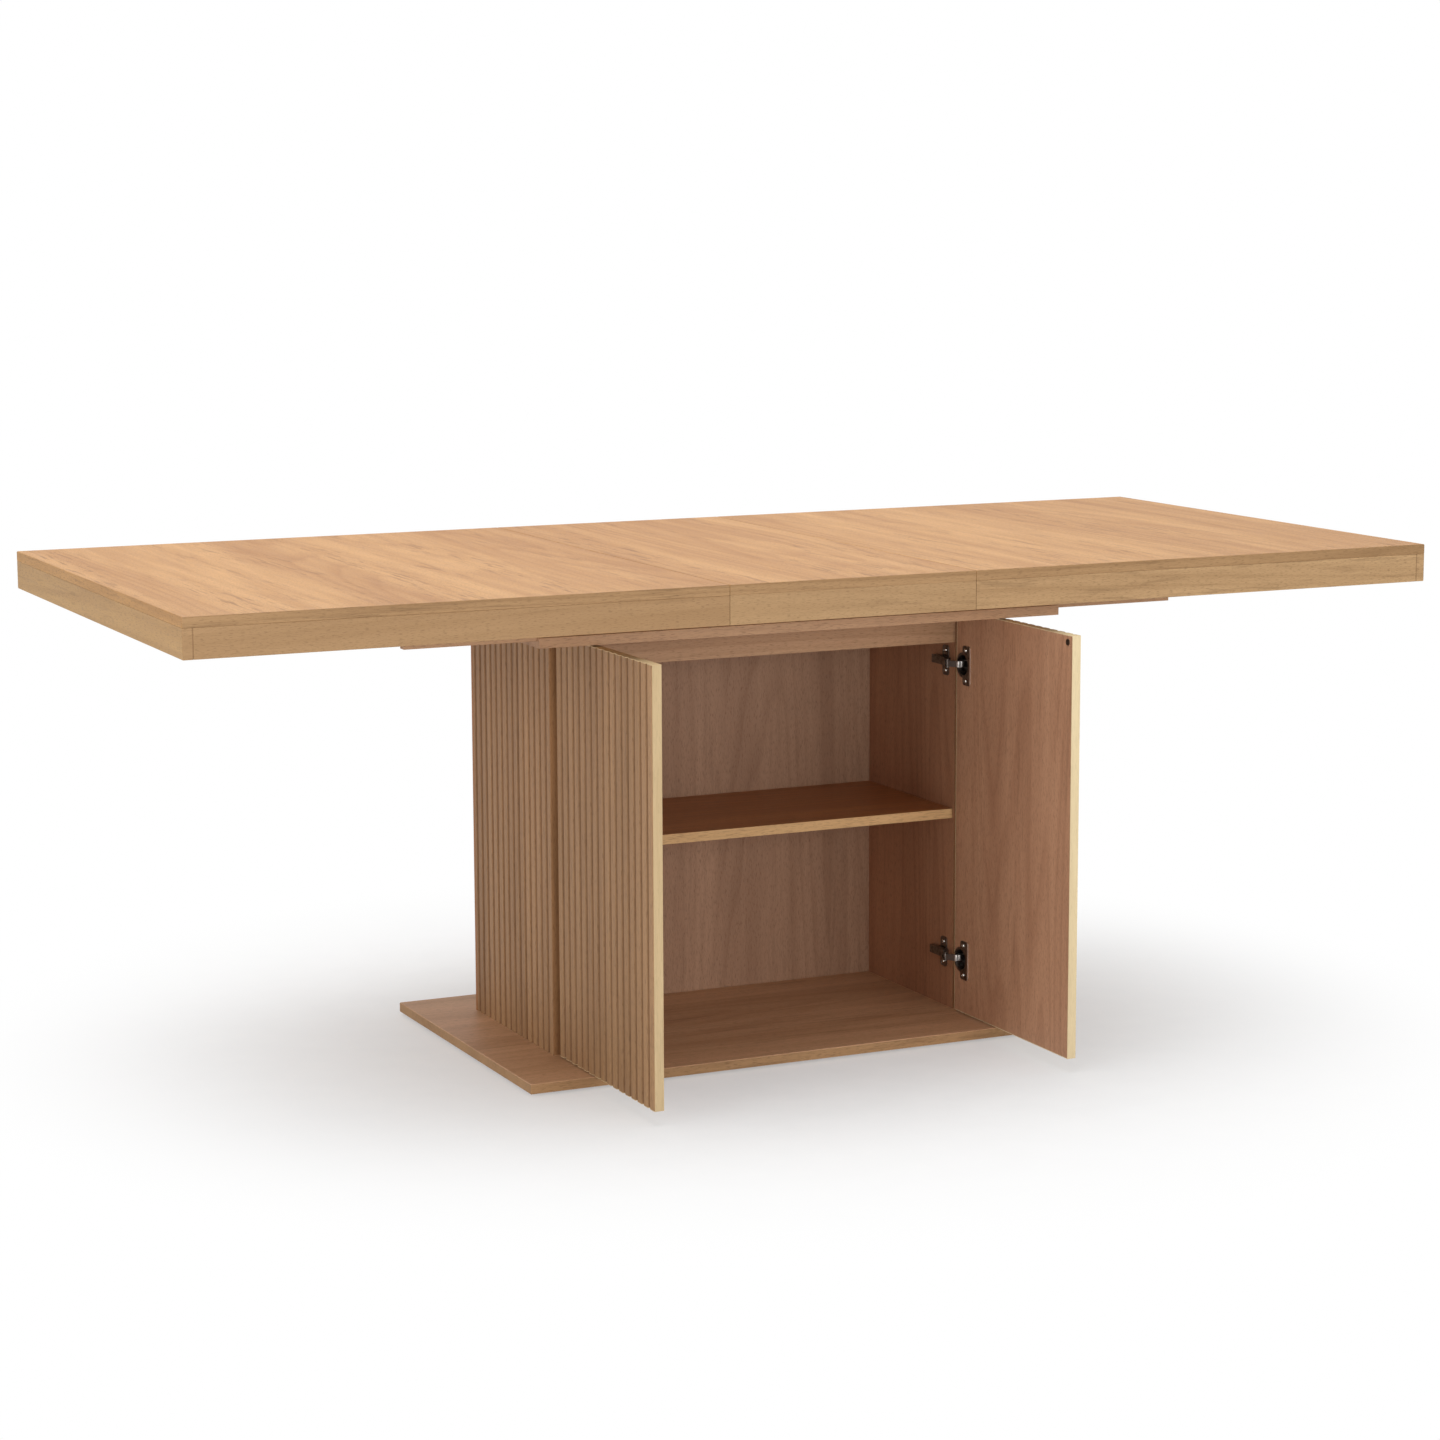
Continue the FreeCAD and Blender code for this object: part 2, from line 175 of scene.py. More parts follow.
floor_corners = [(x * floor_reach, y * floor_reach, 0) for x, y in ((-1, -1), (1, -1), (1, 1), (-1, 1))]
floor_mesh = bpy.data.meshes.new("studio_floor")
floor_mesh.from_pydata(floor_corners, [], [(0, 1, 2, 3)])
floor = bpy.data.objects.new("studio_floor", floor_mesh)
floor.location.z = -floor_drop
bpy.context.scene.collection.objects.link(floor)
print("floor", 2 * floor_reach, "m across")

# %% [markdown]
# ## Floor paint
# Close to the table the floor is ordinary matt paint, which takes the shadow. Further out it fades into
# the white of the room. The fade could be left to a strong lamp, but that would also bleach the table, so
# it is a mix of two shaders by the distance from the middle. From below the floor is clear, and under the
# base plate it is left open, or the plate's underside, four millimetres above the floor, would be black
# in a view from below.

# %% Floor paint
shadow_near, shadow_far, least_white = 0.36, 1.25, 0.35
grit_scale, grit_detail = 14.0, 4.0
grit_dark, grit_pale = (0.88, 0.88, 0.88, 1), (0.92, 0.92, 0.92, 1)
opening_margin = {"X": 0.045, "Y": 0.042}

paint = bpy.data.materials.new("studio_floor_paint")
paint.use_nodes = True
net = paint.node_tree
net.nodes.clear()
here = add(net, "ShaderNodeTexCoord").outputs["Object"]
grit = add(net, "ShaderNodeTexNoise", {"Vector": here, "Scale": grit_scale, "Detail": grit_detail})
coat = ramp(net, grit.outputs["Fac"], [(0.3, grit_dark), (0.7, grit_pale)])
matt = add(net, "ShaderNodeBsdfDiffuse", {"Color": coat})
glow = add(net, "ShaderNodeEmission", {"Color": white, "Strength": room_seen})

away = add(net, "ShaderNodeVectorMath", {0: here}, operation="LENGTH").outputs["Value"]
fade_levels = {"Value": away, "From Min": shadow_near, "From Max": shadow_far, "To Min": least_white}
fade = add(net, "ShaderNodeMapRange", fade_levels, interpolation_type="SMOOTHSTEP").outputs[0]
shown = reckon(net, "MULTIPLY", fade, direct_look(net))
face = add(net, "ShaderNodeMixShader", {0: shown, 1: matt.outputs[0], 2: glow.outputs[0]})

plate_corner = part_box("base_plate")[1]
place = add(net, "ShaderNodeSeparateXYZ", {0: here}).outputs
inside = {}
for axis, half in (("X", plate_corner.x), ("Y", plate_corner.y)):
    apart = reckon(net, "ABSOLUTE", place[axis])
    inside[axis] = reckon(net, "LESS_THAN", apart, half - opening_margin[axis])
under_plate = reckon(net, "MULTIPLY", inside["X"], inside["Y"])
from_below = add(net, "ShaderNodeNewGeometry").outputs["Backfacing"]
opened = reckon(net, "MAXIMUM", from_below, under_plate)
clear = add(net, "ShaderNodeBsdfTransparent")
both = add(net, "ShaderNodeMixShader", {0: opened, 1: face.outputs[0], 2: clear.outputs[0]})
add(net, "ShaderNodeOutputMaterial", {"Surface": both.outputs[0]})
floor_mesh.materials.append(paint)
print("the shadow fades from", shadow_near, "to", shadow_far, "m from the middle")

# %% [markdown]
# ## Softboxes
# The even room alone would leave the table flat. Small lamps would draw hard shadows, so three large
# softboxes give the light its direction: a wide one overhead, so that the top is the brightest face, and
# two at the height of the cabinet, in front and on the left, so that each flute has a light and a dark
# flank.

# %% Softboxes
def softbox(name, place, aim, width, height, watts):
    lamp = bpy.data.lights.new(name, "AREA")
    lamp.shape = "RECTANGLE"
    lamp.size, lamp.size_y = width, height
    lamp.energy = watts
    held = bpy.data.objects.new(name, lamp)
    held.location = place
    held.rotation_euler = (Vector(aim) - Vector(place)).to_track_quat("-Z", "Y").to_euler()
    bpy.context.scene.collection.objects.link(held)
    print(name, "of", width, "by", height, "m at", watts, "W")


softbox("overhead_softbox", (-0.3, 0.3, 3.9), (0, 0, 0.7), width=3.2, height=2.6, watts=82)
softbox("front_softbox", (0.4, -4.8, 0.95), (0, 0, 0.5), width=2.6, height=1.6, watts=64)
softbox("left_softbox", (-4.4, -2.2, 1.0), (0, -0.2, 0.4), width=2.2, height=1.6, watts=62)

# %% [markdown]
# ## What grain is made of
# Oak décor has several things going on at once, all pulled out along the grain: broad drifts of tone,
# streaks a finger wide, the swell of the growth rings, short dark marks that gather in clusters, fine
# fibres and tiny pores. A photograph of a board could show all of them, but it repeats, and it fits one
# size of board only. So each is a noise of its own, stretched along one axis: pull is the share of the
# noise's scale that is left there, and 0.05 stretches it twenty times. The pores are short, so they are
# stretched half as far.

# %% Grain
def new_finish(name):
    finish = bpy.data.materials.new(name)
    finish.use_nodes = True
    return finish, finish.node_tree, finish.node_tree.nodes["Principled BSDF"]


def grain_noises(net, along, shift, pull):
    here = add(net, "ShaderNodeTexCoord").outputs["Object"]

    def stretched(amount):
        scale = [amount if axis == along else 1.0 for axis in "XYZ"]
        return add(net, "ShaderNodeMapping", {"Vector": here, "Location": shift, "Scale": scale}).outputs[0]

    def noise(where, scale, detail, rough=0.5, wander=0.0):
        sockets = {"Vector": where, "Scale": scale, "Detail": detail,
                   "Roughness": rough, "Distortion": wander}
        return add(net, "ShaderNodeTexNoise", sockets).outputs["Fac"]

    grain, short_grain = stretched(pull), stretched(2 * pull)
    return {
        "drift": noise(grain, scale=8.0, detail=2.0),
        "streak": noise(grain, scale=34.0, detail=3.0, rough=0.55, wander=0.3),
        "swell": noise(grain, scale=5.5, detail=1.5, rough=0.45, wander=0.35),
        "mark": noise(grain, scale=150.0, detail=3.0, rough=0.6, wander=0.5),
        "cluster": noise(grain, scale=19.0, detail=2.0),
        "fibre": noise(grain, scale=240.0, detail=4.0, rough=0.7),
        "pore": noise(short_grain, scale=900.0, detail=2.0),
    }


print("grain of drifts, streaks, rings, marks, fibres and pores")

# %% [markdown]
# ## One recipe for oak
# The noises become wood in the order in which an eye finds them: first the drift between a pale tone and
# a deeper one, then each finer thing laid over it. The growth rings are the contour lines of a wide
# swell, which a wave texture would draw too evenly: the fraction of a multiple of the swell is a saw
# tooth for each year, which darkens slowly and then ends sharply. The rings show most where the drift is
# dark, as they do on a real veneer. The fibres also move the gloss of the varnish, and fibres and pores
# lie a little below its surface.

# %% Oak recipe
rings_in_swell = 24.0
wood_specular, wood_relief, wood_relief_depth = 0.2, 0.12, 0.0004


def both_of(net, first, second):
    return blend(net, 1.0, first, second, "MULTIPLY")


def oak(name, pale, deep, along, shift,
        streak=0.3, arches=0.4, marks=0.4, pores=0.45, sheen=0.5, pull=0.05):
    wood, net, shader = new_finish(name)
    noise = grain_noises(net, along, shift, pull)
    middle = tuple(0.6 * p + 0.4 * d for p, d in zip(pale, deep))
    dark = (*(0.6 * d for d in deep[:3]), 1.0)

    body = ramp(net, noise["drift"], [(0.36, middle), (0.60, pale)])
    finger = ramp(net, noise["streak"], [(0.36, streak), (0.64, 0.0)])
    body = blend(net, finger, body, deep)

    year = reckon(net, "FRACT", reckon(net, "MULTIPLY", noise["swell"], rings_in_swell))
    late_wood = ramp(net, year, [(0.0, 0.15), (0.12, 0.0), (0.45, 0.0), (0.9, 1.0), (1.0, 0.15)])
    in_dark_drift = ramp(net, noise["drift"], [(0.42, arches), (0.60, arches * 0.15)])
    body = blend(net, both_of(net, late_wood, in_dark_drift), body, deep)

    dash = ramp(net, noise["mark"], [(0.34, 1.0), (0.47, 0.0)])
    in_cluster = ramp(net, noise["cluster"], [(0.46, 0.12 * marks), (0.62, marks)])
    body = blend(net, both_of(net, dash, in_cluster), body, dark)

    hair = ramp(net, noise["fibre"], [(0.32, 0.24), (0.60, 0.0)])
    body = blend(net, hair, body, deep)
    pit = ramp(net, noise["pore"], [(0.54, 0.0), (0.66, 1.0)])
    body = blend(net, both_of(net, pit, (pores, pores, pores, 1)), body, dark)
    net.links.new(body, shader.inputs["Base Color"])

    varnish = {"Value": noise["fibre"], "To Min": sheen - 0.08, "To Max": sheen + 0.12}
    net.links.new(add(net, "ShaderNodeMapRange", varnish).outputs[0], shader.inputs["Roughness"])
    shader.inputs["Specular IOR Level"].default_value = wood_specular
    hollow = {"Height": blend(net, 0.5, hair, pit), "Strength": wood_relief, "Distance": wood_relief_depth}
    net.links.new(add(net, "ShaderNodeBump", hollow, invert=True).outputs[0], shader.inputs["Normal"])
    return wood


print("the oak recipe is ready, with", rings_in_swell, "rings in a swell")

# %% [markdown]
# ## The table top
# The two halves and the leaf were cut from the same décor, so they share their colours but not their
# grain. One material for all three would carry the streaks across the seams, so each board gets its own
# place in the noise. The grain runs across the table, from the front edge to the back edge, which lets
# the leaf drop in between the halves without a break in direction. It is pulled a little less far than
# elsewhere, for a bolder figure.

# %% Tops
bold_pull = 0.07
top_pale, top_deep = tint(215, 166, 112), tint(166, 114, 67)
top_places = {"left_top": (0.3, 1.7, 4.2), "leaf_top": (5.9, 8.4, 2.6), "right_top": (9.2, 3.3, 7.8)}


def dress(material, *names):
    for name in names:
        mesh = pieces[name].data
        mesh.materials.clear()
        mesh.materials.append(material)
    print(material.name.ljust(22), "on", ", ".join(names))


for board, shift in top_places.items():
    figure = {"streak": 0.4, "arches": 0.42, "marks": 0.65, "pull": bold_pull}
    dress(oak(board + "_oak", top_pale, top_deep, "Y", shift, **figure), board)

# %% [markdown]
# ## The aprons
# A board on edge under each side of the top makes the top look almost four times as thick as it is. The
# long aprons lie along the table and the end aprons lie across it, and the grain follows the edge, so
# there are two directions; the colour is a little cooler and yellower than the top. One oak for all would
# be simpler, but each part of the top was cut from another board, and that shows at the seams.

# %% Aprons
apron_deep = tint(152, 117, 79)
apron_oaks = {"left": (tint(177, 141, 101), (1.9, 6.1, 3.4)),
              "leaf": (tint(182, 147, 106), (7.3, 2.2, 9.1)),
              "right": (tint(203, 166, 122), (4.4, 5.0, 0.7))}
end_pale, end_deep = tint(203, 163, 110), tint(156, 118, 75)
end_places = {"left": (2.8, 7.7, 3.4), "right": (2.8, 7.7, 0.7)}

for part, (pale, shift) in apron_oaks.items():
    along_edge = oak(part + "_apron_oak", pale, apron_deep, "X", shift, pull=bold_pull)
    dress(along_edge, part + "_front_apron", part + "_back_apron")
for part, shift in end_places.items():
    dress(oak(part + "_end_apron_oak", end_pale, end_deep, "Y", shift), part + "_end_apron")

# %% [markdown]
# ## Where the end aprons meet the long ones
# At the corners the end aprons run through to the front and the back, and the long ones butt against
# them. The end that shows there wears the oak of the long apron, and a fine dark line marks the joint.
# The line could be a groove in the mesh, but the boards meet tightly and nothing is cut away there, so it
# is a darker tone over the last millimetre before the joint. The helper that lays a tone by place serves
# the flutes and the hinges as well.

# %% Apron corners
side_to_side, front_to_back = 0, 1
line_start, line_full, line_strength, line_tone = 0.0018, 0.0012, 0.42, tint(104, 74, 46)
flat_on = 0.95


def tone_by_place(material, axis, start, full, strength, tone):
    net = material.node_tree
    shader = net.nodes["Principled BSDF"]
    plain = shader.inputs["Base Color"].links[0].from_socket
    here = add(net, "ShaderNodeTexCoord").outputs["Object"]
    apart = reckon(net, "ABSOLUTE", add(net, "ShaderNodeSeparateXYZ", {0: here}).outputs[axis])
    sockets = {"Value": apart, "From Min": start, "From Max": full, "To Max": strength}
    amount = add(net, "ShaderNodeMapRange", sockets).outputs[0]
    net.links.new(blend(net, amount, plain, tone), shader.inputs["Base Color"])


def band(material, names, is_edge):
    for name in names:
        mesh = pieces[name].data
        mesh.materials.append(material)
        faces = [f for f in mesh.polygons if is_edge(f)]
        for f in faces:
            f.material_index = len(mesh.materials) - 1
        print(material.name.ljust(22), "bands", len(faces), "faces of", name)


for part in end_places:
    pale, shift = apron_oaks[part]
    butt = oak(part + "_apron_butt_oak", pale, apron_deep, "X", shift, pull=bold_pull)
    joint = min(abs(corner.x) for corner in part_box(part + "_end_apron"))
    tone_by_place(butt, side_to_side, joint + line_start, joint + line_full, line_strength, line_tone)
    band(butt, [part + "_end_apron"], lambda f: abs(f.normal.y) > flat_on)

# %% [markdown]
# ## The edges of the top boards
# The raw edges of the top boards are closed with a band of the aprons' oak, so that apron and board read
# as one thick edge. The band is a fraction of a millimetre thick, so a strip of its own would show
# nothing more: the edge faces of each board just take another material, with bolder streaks.

# %% Rims
leaning, facing = 0.8, 0.5
long_rim = oak("long_rim_oak", tint(187, 149, 106), tint(138, 104, 68), "X", (2.1, 9.4, 5.3),
               streak=0.5, marks=0.55)
short_rim = oak("short_rim_oak", tint(206, 157, 98), tint(142, 100, 56), "Y", (3.5, 8.2, 2.7),
                streak=0.5, marks=0.7)
band(long_rim, top_places, lambda f: abs(f.normal.z) < leaning and abs(f.normal.y) > facing)
band(short_rim, top_places, lambda f: abs(f.normal.z) < leaning and abs(f.normal.x) > facing)

# %% [markdown]
# ## The fluted panels
# The sides, the back and the doors are milled with upright grooves, and the grain stands upright with
# them. The shade in the grooves is painted into the wood's colour. A second material on the groove faces
# would end in a hard line, so the recipe measures how far a point lies below the panel's outer face and
# darkens the wood by that depth, down to the groove's floor, as painted shade.

# %% Fluted panels
below_face, groove_floor = 0.0003, 0.0026
# painted shade: the tone that darkens the grooves, deeper and redder than the deep tone of the wood
groove_shade = (0.52, 0.43, 0.34)


def fluted_oak(name, axis, outer_face, shift, pale, deep, groove=0.62, reach=groove_floor):
    wood = oak(name, pale, deep, "Z", shift, streak=0.25, arches=0.3, marks=0.3)
    shade = (*(s * d for s, d in zip(groove_shade, deep)), 1.0)
    # painted shade in the grooves, growing with depth below the outer face
    tone_by_place(wood, axis, outer_face - below_face, outer_face - reach, groove, shade)
    return wood


panel_pale, panel_deep, door_pale = tint(175, 135, 96), tint(130, 95, 63), tint(180, 141, 102)
side_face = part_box("right_side")[1].x
back_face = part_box("back_panel")[1].y
door_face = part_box("right_door")[1].x
side_oak = fluted_oak("side_fluted_oak", side_to_side, side_face, (3.1, 0.4, 6.6), panel_pale, panel_deep)
back_oak = fluted_oak("back_fluted_oak", front_to_back, back_face, (8.0, 4.9, 1.2), panel_pale, panel_deep)
door_oak = fluted_oak("door_fluted_oak", side_to_side, door_face, (6.7, 9.5, 2.0), door_pale, panel_deep)
dress(side_oak, "left_side", "right_side")
dress(back_oak, "back_panel")
dress(door_oak, "left_door", "right_door")

# %% [markdown]
# ## Inner faces and lippings
# Inside, the panels are flat and wear a lighter, redder sheet of the same décor: painted light, for the
# warm light inside the cabinet. The front edges of the sides, where the doors hang, are closed with a
# lipping, and behind the sides runs a plain, redder one. The rear lippings are pieces of their own and
# get a whole material. The sheets and the front lippings could be thin pieces too, but they would lie in
# the same plane as their panel and flicker, so they are faces of the panel, chosen by the way they look.
# The front lipping gets darker away from its outer corner: painted shade for the gap beside the open door.

# %% Inner faces and lippings
def inner_oak(name, pale, deep, shift):
    return oak(name, pale, deep, "Z", shift, streak=0.22, arches=0.45, marks=0.3, pull=bold_pull)


# painted light: the inner faces are lighter and redder than the outside, for the warm light inside the
# cabinet
side_inner = inner_oak("side_inner_oak", tint(200, 150, 116), tint(156, 110, 82), (7.7, 3.8, 0.6))
door_inner = inner_oak("door_inner_oak", tint(206, 160, 127), tint(162, 116, 88), (1.6, 8.1, 4.4))
back_inner = inner_oak("back_inner_oak", tint(187, 149, 121), tint(143, 107, 83), (5.1, 2.7, 9.3))
for hand, inward in (("left", 1), ("right", -1)):
    band(side_inner, [hand + "_side"], lambda f: f.normal.x * inward > flat_on)
    band(door_inner, [hand + "_door"], lambda f: f.normal.x * inward > flat_on)
band(back_inner, ["back_panel"], lambda f: f.normal.y < -flat_on)

# painted shade: the front lipping darkens away from its outer corner, for the gap beside the open door
front_lipping = fluted_oak("hinge_side_lipping_oak", side_to_side, side_face, (1.3, 5.6, 7.1),
                           tint(196, 146, 100), panel_deep, groove=0.5, reach=0.011)
band(front_lipping, ("left_side", "right_side"), lambda f: f.normal.y < -flat_on)
rear_lipping = oak("rear_lipping_oak", tint(178, 122, 75), tint(140, 93, 56), "Z", (8.8, 2.4, 3.9),
                   arches=0.2)
dress(rear_lipping, "side_lippings")

# %% [markdown]
# ## Plain boards
# The plates, the shelf, the rail and the beams are flat boards in the same oak, with the grain along
# their length. They could all share one sheet, but the base is painted paler, as painted light, and the
# shelf's top darker and redder, as painted shade; the shelf is also shinier. The edges of the base are
# banded like the aprons.

# %% Plain boards
board_pale, board_deep = tint(192, 153, 118), tint(148, 109, 79)
upper_board = oak("upper_board_oak", board_pale, board_deep, "X", (0.9, 3.6, 8.8), arches=0.45)
# painted light: the base is paler than the other boards
painted_light_base_board = oak("base_board_oak", tint(220, 177, 139), tint(174, 132, 96), "X", (2.6, 0.3, 5.9))
base_band = oak("base_band_oak", tint(182, 143, 102), tint(144, 107, 72), "X", (4.9, 7.0, 2.3), arches=0.2)
rail_board = oak("rail_oak", board_pale, board_deep, "X", (5.2, 1.4, 4.0), arches=0.45)
# painted shade: the shelf's top is darker and redder than the other boards; its other faces get the upper
# board oak below
painted_shade_shelf_top = oak("shelf_oak", tint(203, 140, 90), tint(152, 98, 59), "X", (3.3, 7.4, 0.8), sheen=0.42)
dress(upper_board, "top_plate", "front_beam", "back_beam")
dress(painted_light_base_board, "base_plate")
band(base_band, ["base_plate"], lambda f: abs(f.normal.z) < facing)
dress(rail_board, "front_rail")
dress(painted_shade_shelf_top, "shelf")
band(upper_board, ["shelf"], lambda f: f.normal.z < facing)

# %% [markdown]
# ## Edge bands and battens
# The doors and the shelf have pale edge bands, which are pieces of their own. A door's bands are one
# piece with strips in two directions. One material could turn its grain by the way a face looks, but two
# plain ones are easier to follow: the faces that look up or down get the same oak with the grain turned.
# Under the top the battens and cleats are softwood, lighter and with stronger rings, because they stay
# out of sight.

# %% Edge bands and battens
door_band_tones = {"left": (tint(212, 187, 146), tint(182, 154, 112), (2.2, 2.9, 0.5)),
                   "right": (tint(238, 219, 178), tint(208, 184, 142), (9.4, 6.3, 5.5))}
for hand, (pale, deep, shift) in door_band_tones.items():
    calm = {"arches": 0.2, "marks": 0.2, "pores": 0.15}
    dress(oak(hand + "_upright_band_oak", pale, deep, "Z", shift, **calm), hand + "_door_bands")
    level_band = oak(hand + "_level_band_oak", pale, deep, "Y", shift, **calm)
    band(level_band, [hand + "_door_bands"], lambda f: abs(f.normal.z) > flat_on)

shelf_band = oak("shelf_band_oak", tint(214, 174, 124), tint(178, 138, 92), "X", (7.0, 0.2, 3.7),
                 arches=0.2)
dress(shelf_band, "shelf_band")
softwood = oak("batten_softwood", tint(222, 192, 148), tint(182, 142, 96), "X", (4.7, 9.9, 6.2),
               arches=0.7, sheen=0.6)
dress(softwood, "left_front_batten", "left_back_batten", "right_front_batten", "right_back_batten",
      "leaf_front_cleat", "leaf_back_cleat")

# %% [markdown]
# ## Plated steel
# The hinges are pressed steel with a dark nickel plating, and the screws are brighter zinc. A plain
# metallic grey would look like paint, because plating is never quite even. So a slow noise moves the tone
# and a fine one the roughness, and the fine one also dents the surface a little.

# %% Plated steel
cloud_scale, cloud_detail, tooth_scale, tooth_detail = 160.0, 3.0, 900.0, 2.0
polish_spread, plating_relief, plating_depth = 0.16, 0.05, 0.0002


def speckle(net, scale, detail):
    here = add(net, "ShaderNodeTexCoord").outputs["Object"]
    return add(net, "ShaderNodeTexNoise", {"Vector": here, "Scale": scale, "Detail": detail}).outputs["Fac"]


def plated(name, bright, dull, polish):
    metal, net, shader = new_finish(name)
    cloud, tooth = speckle(net, cloud_scale, cloud_detail), speckle(net, tooth_scale, tooth_detail)
    net.links.new(ramp(net, cloud, [(0.35, dull), (0.65, bright)]), shader.inputs["Base Color"])
    buffing = {"Value": tooth, "To Min": polish, "To Max": polish + polish_spread}
    net.links.new(add(net, "ShaderNodeMapRange", buffing).outputs[0], shader.inputs["Roughness"])
    shader.inputs["Metallic"].default_value = 1.0
    dents = {"Height": tooth, "Strength": plating_relief, "Distance": plating_depth}
    net.links.new(add(net, "ShaderNodeBump", dents).outputs[0], shader.inputs["Normal"])
    return metal


nickel_bright, nickel_dull = tint(132, 126, 120), tint(98, 92, 88)
dark_nickel = plated("dark_nickel", nickel_bright, nickel_dull, polish=0.24)
bright_nickel = plated("bright_nickel", tint(226, 222, 218), tint(202, 197, 192), polish=0.38)
screw_zinc = plated("screw_zinc", tint(214, 212, 206), tint(188, 184, 176), polish=0.18)
strike_zinc = plated("strike_zinc", tint(120, 114, 108), tint(92, 86, 80), polish=0.3)
dress(dark_nickel, "hinge_plates", "left_arms", "right_arms")
dress(bright_nickel, "arm_pins", "left_cup_pins", "right_cup_pins")
dress(screw_zinc, "plate_screws", "left_cup_screws", "right_cup_screws", "shelf_pins")
dress(strike_zinc, "left_strike", "right_strike")

# %% [markdown]
# ## Cups and links
# These two parts of a hinge show the most, and neither is one even tone. The front edge of each cup's
# flange carries a painted highlight, and each link is brighter where it bends into the cup, while its
# other end is dark. The faces could get materials of their own, but the CAD faces don't end where the
# tones do. So both tones are laid on by place, measured from the front of the flange and from the pin in
# the cup.

# %% Cups and links
# painted highlight: a bright tone over the front few millimetres of each cup's flange
flange_start, flange_full, flange_strength, flange_highlight_tone = 0.0026, 0.0020, 1.0, tint(236, 232, 228)
neck_start, neck_full, neck_strength, neck_tone = 0.0070, 0.0083, 0.9, tint(92, 84, 78)

cup_nickel = plated("cup_nickel", nickel_bright, nickel_dull, polish=0.24)
flange_front = -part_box("right_upper_cup")[0].y
# lays the painted highlight on the flange's front edge
tone_by_place(cup_nickel, front_to_back, flange_front - flange_start, flange_front - flange_full,
              flange_strength, flange_highlight_tone)
dress(cup_nickel, "left_upper_cup", "left_lower_cup", "right_upper_cup", "right_lower_cup")

link_nickel = plated("link_nickel", tint(232, 228, 224), tint(210, 205, 200), polish=0.38)
cup_pin = sum(corner.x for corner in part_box("right_cup_pins")) / 2
tone_by_place(link_nickel, side_to_side, cup_pin - neck_start, cup_pin - neck_full,
              neck_strength, neck_tone)
dress(link_nickel, "left_links", "right_links")

# %% [markdown]
# ## Moulded plastic
# The push latches are grey plastic and the floor glides nearly black. A mould for such parts is finished
# by sparks, which leave a fine, even grain. Real dents of that size would need millions of faces, so one
# fine noise sets both the tone and the bump.

# %% Moulded plastic
spark_scale, spark_detail, spark_relief, spark_depth = 1400.0, 3.0, 0.15, 0.0002
plastic_rough = 0.55


def moulded(name, light, dark):
    plastic, net, shader = new_finish(name)
    spark = speckle(net, spark_scale, spark_detail)
    net.links.new(ramp(net, spark, [(0.3, dark), (0.7, light)]), shader.inputs["Base Color"])
    shader.inputs["Roughness"].default_value = plastic_rough
    dents = {"Height": spark, "Strength": spark_relief, "Distance": spark_depth}
    net.links.new(add(net, "ShaderNodeBump", dents).outputs[0], shader.inputs["Normal"])
    return plastic


latch_plastic = moulded("latch_plastic", tint(120, 116, 110), tint(92, 88, 84))
glide_plastic = moulded("glide_plastic", tint(66, 64, 62), tint(44, 42, 40))
dress(latch_plastic, "latch_housings", "left_plunger", "right_plunger")
dress(glide_plastic, "floor_glides")

# %% [markdown]
# ## Easing the edges
# No board leaves a workshop with a razor edge: the router or the edge bander takes off half a millimetre,
# and that sliver catches the light. The edges could be rounded in the mesh, but the CAD pieces stay
# untouched, so two modifiers do it. A weld first joins the corners that the CAD file stores once for each
# face, and then a narrow bevel rounds only the edges that really turn.

# %% Eased edges
board_ease, apron_ease, steel_ease = 0.0004, 0.0008, 0.0003
same_corner, sharp_turn, ease_steps = 1e-6, math.radians(30), 2


def ease(name, width):
    piece = pieces[name]
    piece.modifiers.new("join_corners", "WELD").merge_threshold = same_corner
    edge = piece.modifiers.new("eased_edge", "BEVEL")
    edge.width, edge.segments = width, ease_steps
    edge.limit_method, edge.angle_limit = "ANGLE", sharp_turn
    edge.use_clamp_overlap = True
    edge.harden_normals = True


boards = [n for n in pieces if n.endswith(("_top", "_plate", "_beam", "_side", "_batten", "_cleat"))]
boards += ["side_lippings", "back_panel", "shelf", "front_rail", "left_door", "right_door"]
aprons = [n for n in pieces if n.endswith("_apron")]
pressed = [n for n in pieces if n.endswith(("_cup", "_arms", "_links"))] + ["hinge_plates"]
for names, width in ((boards, board_ease), (aprons, apron_ease), (pressed, steel_ease)):
    for name in names:
        ease(name, width)
    print(len(names), "pieces eased by", 1000 * width, "mm")

# %% [markdown]
# ## Finding the screws
# Eight screws hold the mounting plates and eight hold the cups. The CAD model keeps each set as one piece
# with plain heads, and better screws have to sit in the same places. Blender can separate loose parts,
# but that would change the CAD piece. So the corners are sorted instead: each face joins its corners into
# one group, and every group that is left over is one screw.

# %% Find the screws
def loose_solids(node):
    mesh = pieces[node].data
    corners = [tuple(round(c, 6) for c in v.co) for v in mesh.vertices]
    lead = {k: k for k in corners}

    def root(k):
        while lead[k] != k:
            k = lead[k]
        return k

    for face in mesh.polygons:
        first = root(corners[face.vertices[0]])
        for i in face.vertices[1:]:
            lead[root(corners[i])] = first
    groups = {}
    for k in lead:
        groups.setdefault(root(k), []).append(k)
    return [(Vector(map(min, *g)), Vector(map(max, *g))) for g in groups.values()]


for node in ("plate_screws", "left_cup_screws", "right_cup_screws"):
    print(node, "holds", len(loose_solids(node)), "screws")

